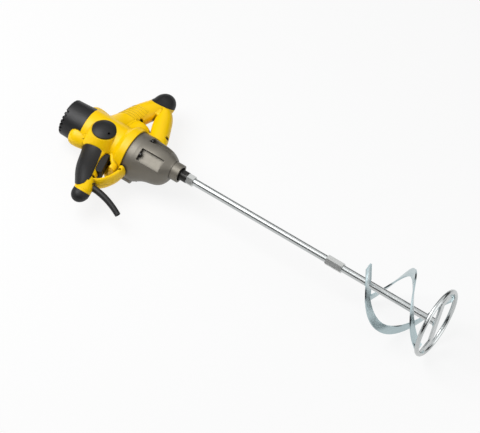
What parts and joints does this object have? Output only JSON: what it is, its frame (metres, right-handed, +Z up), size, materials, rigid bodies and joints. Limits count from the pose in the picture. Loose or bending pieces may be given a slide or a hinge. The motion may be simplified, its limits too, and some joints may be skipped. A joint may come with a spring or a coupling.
{
  "type": "mixing drill",
  "caption": "Two-handled mortar mixing drill: motor barrel between loop handles with a trigger, cast gear nose, and a long rod with a ring and ribbon stirring paddle.",
  "frame": {"origin": "middle of the nose collar's front face, on the spindle axis", "axes": "+X along the spindle towards the paddle, +Y towards the plain handle, +Z up out of the front of the housing; the tool lies on its back"},
  "size_m": [0.824, 0.3261, 0.14],
  "materials": {
    "yellow_plastic": "satin",
    "black_plastic": "fine grain",
    "black_rubber": "soft matt",
    "cast_aluminium": "die cast, satin",
    "steel": "ground",
    "dark_steel": "black oxide",
    "zinc_steel": "bright zinc",
    "copper": "enamelled copper",
    "brass": "satin",
    "carbon": "graphite",
    "laminations": "stacked sheet",
    "nylon": "natural"
  },
  "bodies": {
    "housing": {"front_shell": "yellow_plastic", "rear_shell": "yellow_plastic", "motor_end_cap": "black_plastic", "front_bumper": "black_rubber", "rear_bumper": "black_rubber", "left_end_bumper": "black_rubber", "right_end_bumper": "black_rubber", "grip_pad": "black_rubber", "cord_boot": "black_rubber", "shell_screws": "dark_steel", "bumper_screws": "dark_steel", "end_cap_screws": "dark_steel", "gear_housing": "cast_aluminium", "gear_plate": "cast_aluminium", "gear_housing_screws": "dark_steel", "stator_core": "laminations", "field_coils": "copper", "brush_holders": "brass", "carbon_brushes": "carbon", "fan_baffle": "nylon", "armature_rear_bearing": "steel", "armature_front_bearing": "steel", "countershaft_rear_bearing": "steel", "countershaft_front_bearing": "steel", "spindle_bush": "brass", "spindle_bearing": "steel", "spindle_seal": "black_rubber", "retaining_ring": "dark_steel", "switch_body": "black_plastic"},
    "trigger": {"trigger": "black_plastic", "switch_plunger": "nylon"},
    "armature": {"armature_shaft": "steel", "armature_core": "laminations", "armature_windings": "copper", "commutator": "copper", "cooling_fan": "nylon"},
    "countershaft": {"countershaft": "steel", "first_gear": "steel"},
    "spindle": {"spindle": "dark_steel", "output_gear": "steel", "output_gear_key": "steel", "rod_nut": "zinc_steel", "upper_rod": "zinc_steel", "coupling_sleeve": "zinc_steel", "lower_rod": "zinc_steel", "first_ribbon": "zinc_steel", "second_ribbon": "zinc_steel", "paddle_ring": "zinc_steel", "cross_bar": "zinc_steel"}
  },
  "joints": [
    {"name": "spindle_turn", "type": "hinge", "parent": "housing", "child": "spindle", "pos_m": [0, 0, 0], "axis": [1, 0, 0], "continuous": true},
    {"name": "countershaft_turn", "type": "hinge", "parent": "housing", "child": "countershaft", "pos_m": [-0.09, -0.01942, -0.01137], "axis": [1, 0, 0], "continuous": true},
    {"name": "armature_turn", "type": "hinge", "parent": "housing", "child": "armature", "pos_m": [-0.16, 0, -0.02], "axis": [1, 0, 0], "continuous": true},
    {"name": "trigger_slide", "type": "slide", "parent": "housing", "child": "trigger", "axis": [-1, 0, 0], "range_m": [0, 0.006], "stiffness_N_per_m": 900, "springref_m": -0.003}
  ],
  "couplings": [
    {"joint": "countershaft_turn", "follows": "spindle_turn", "ratio": -4},
    {"joint": "armature_turn", "follows": "spindle_turn", "ratio": 16}
  ]
}
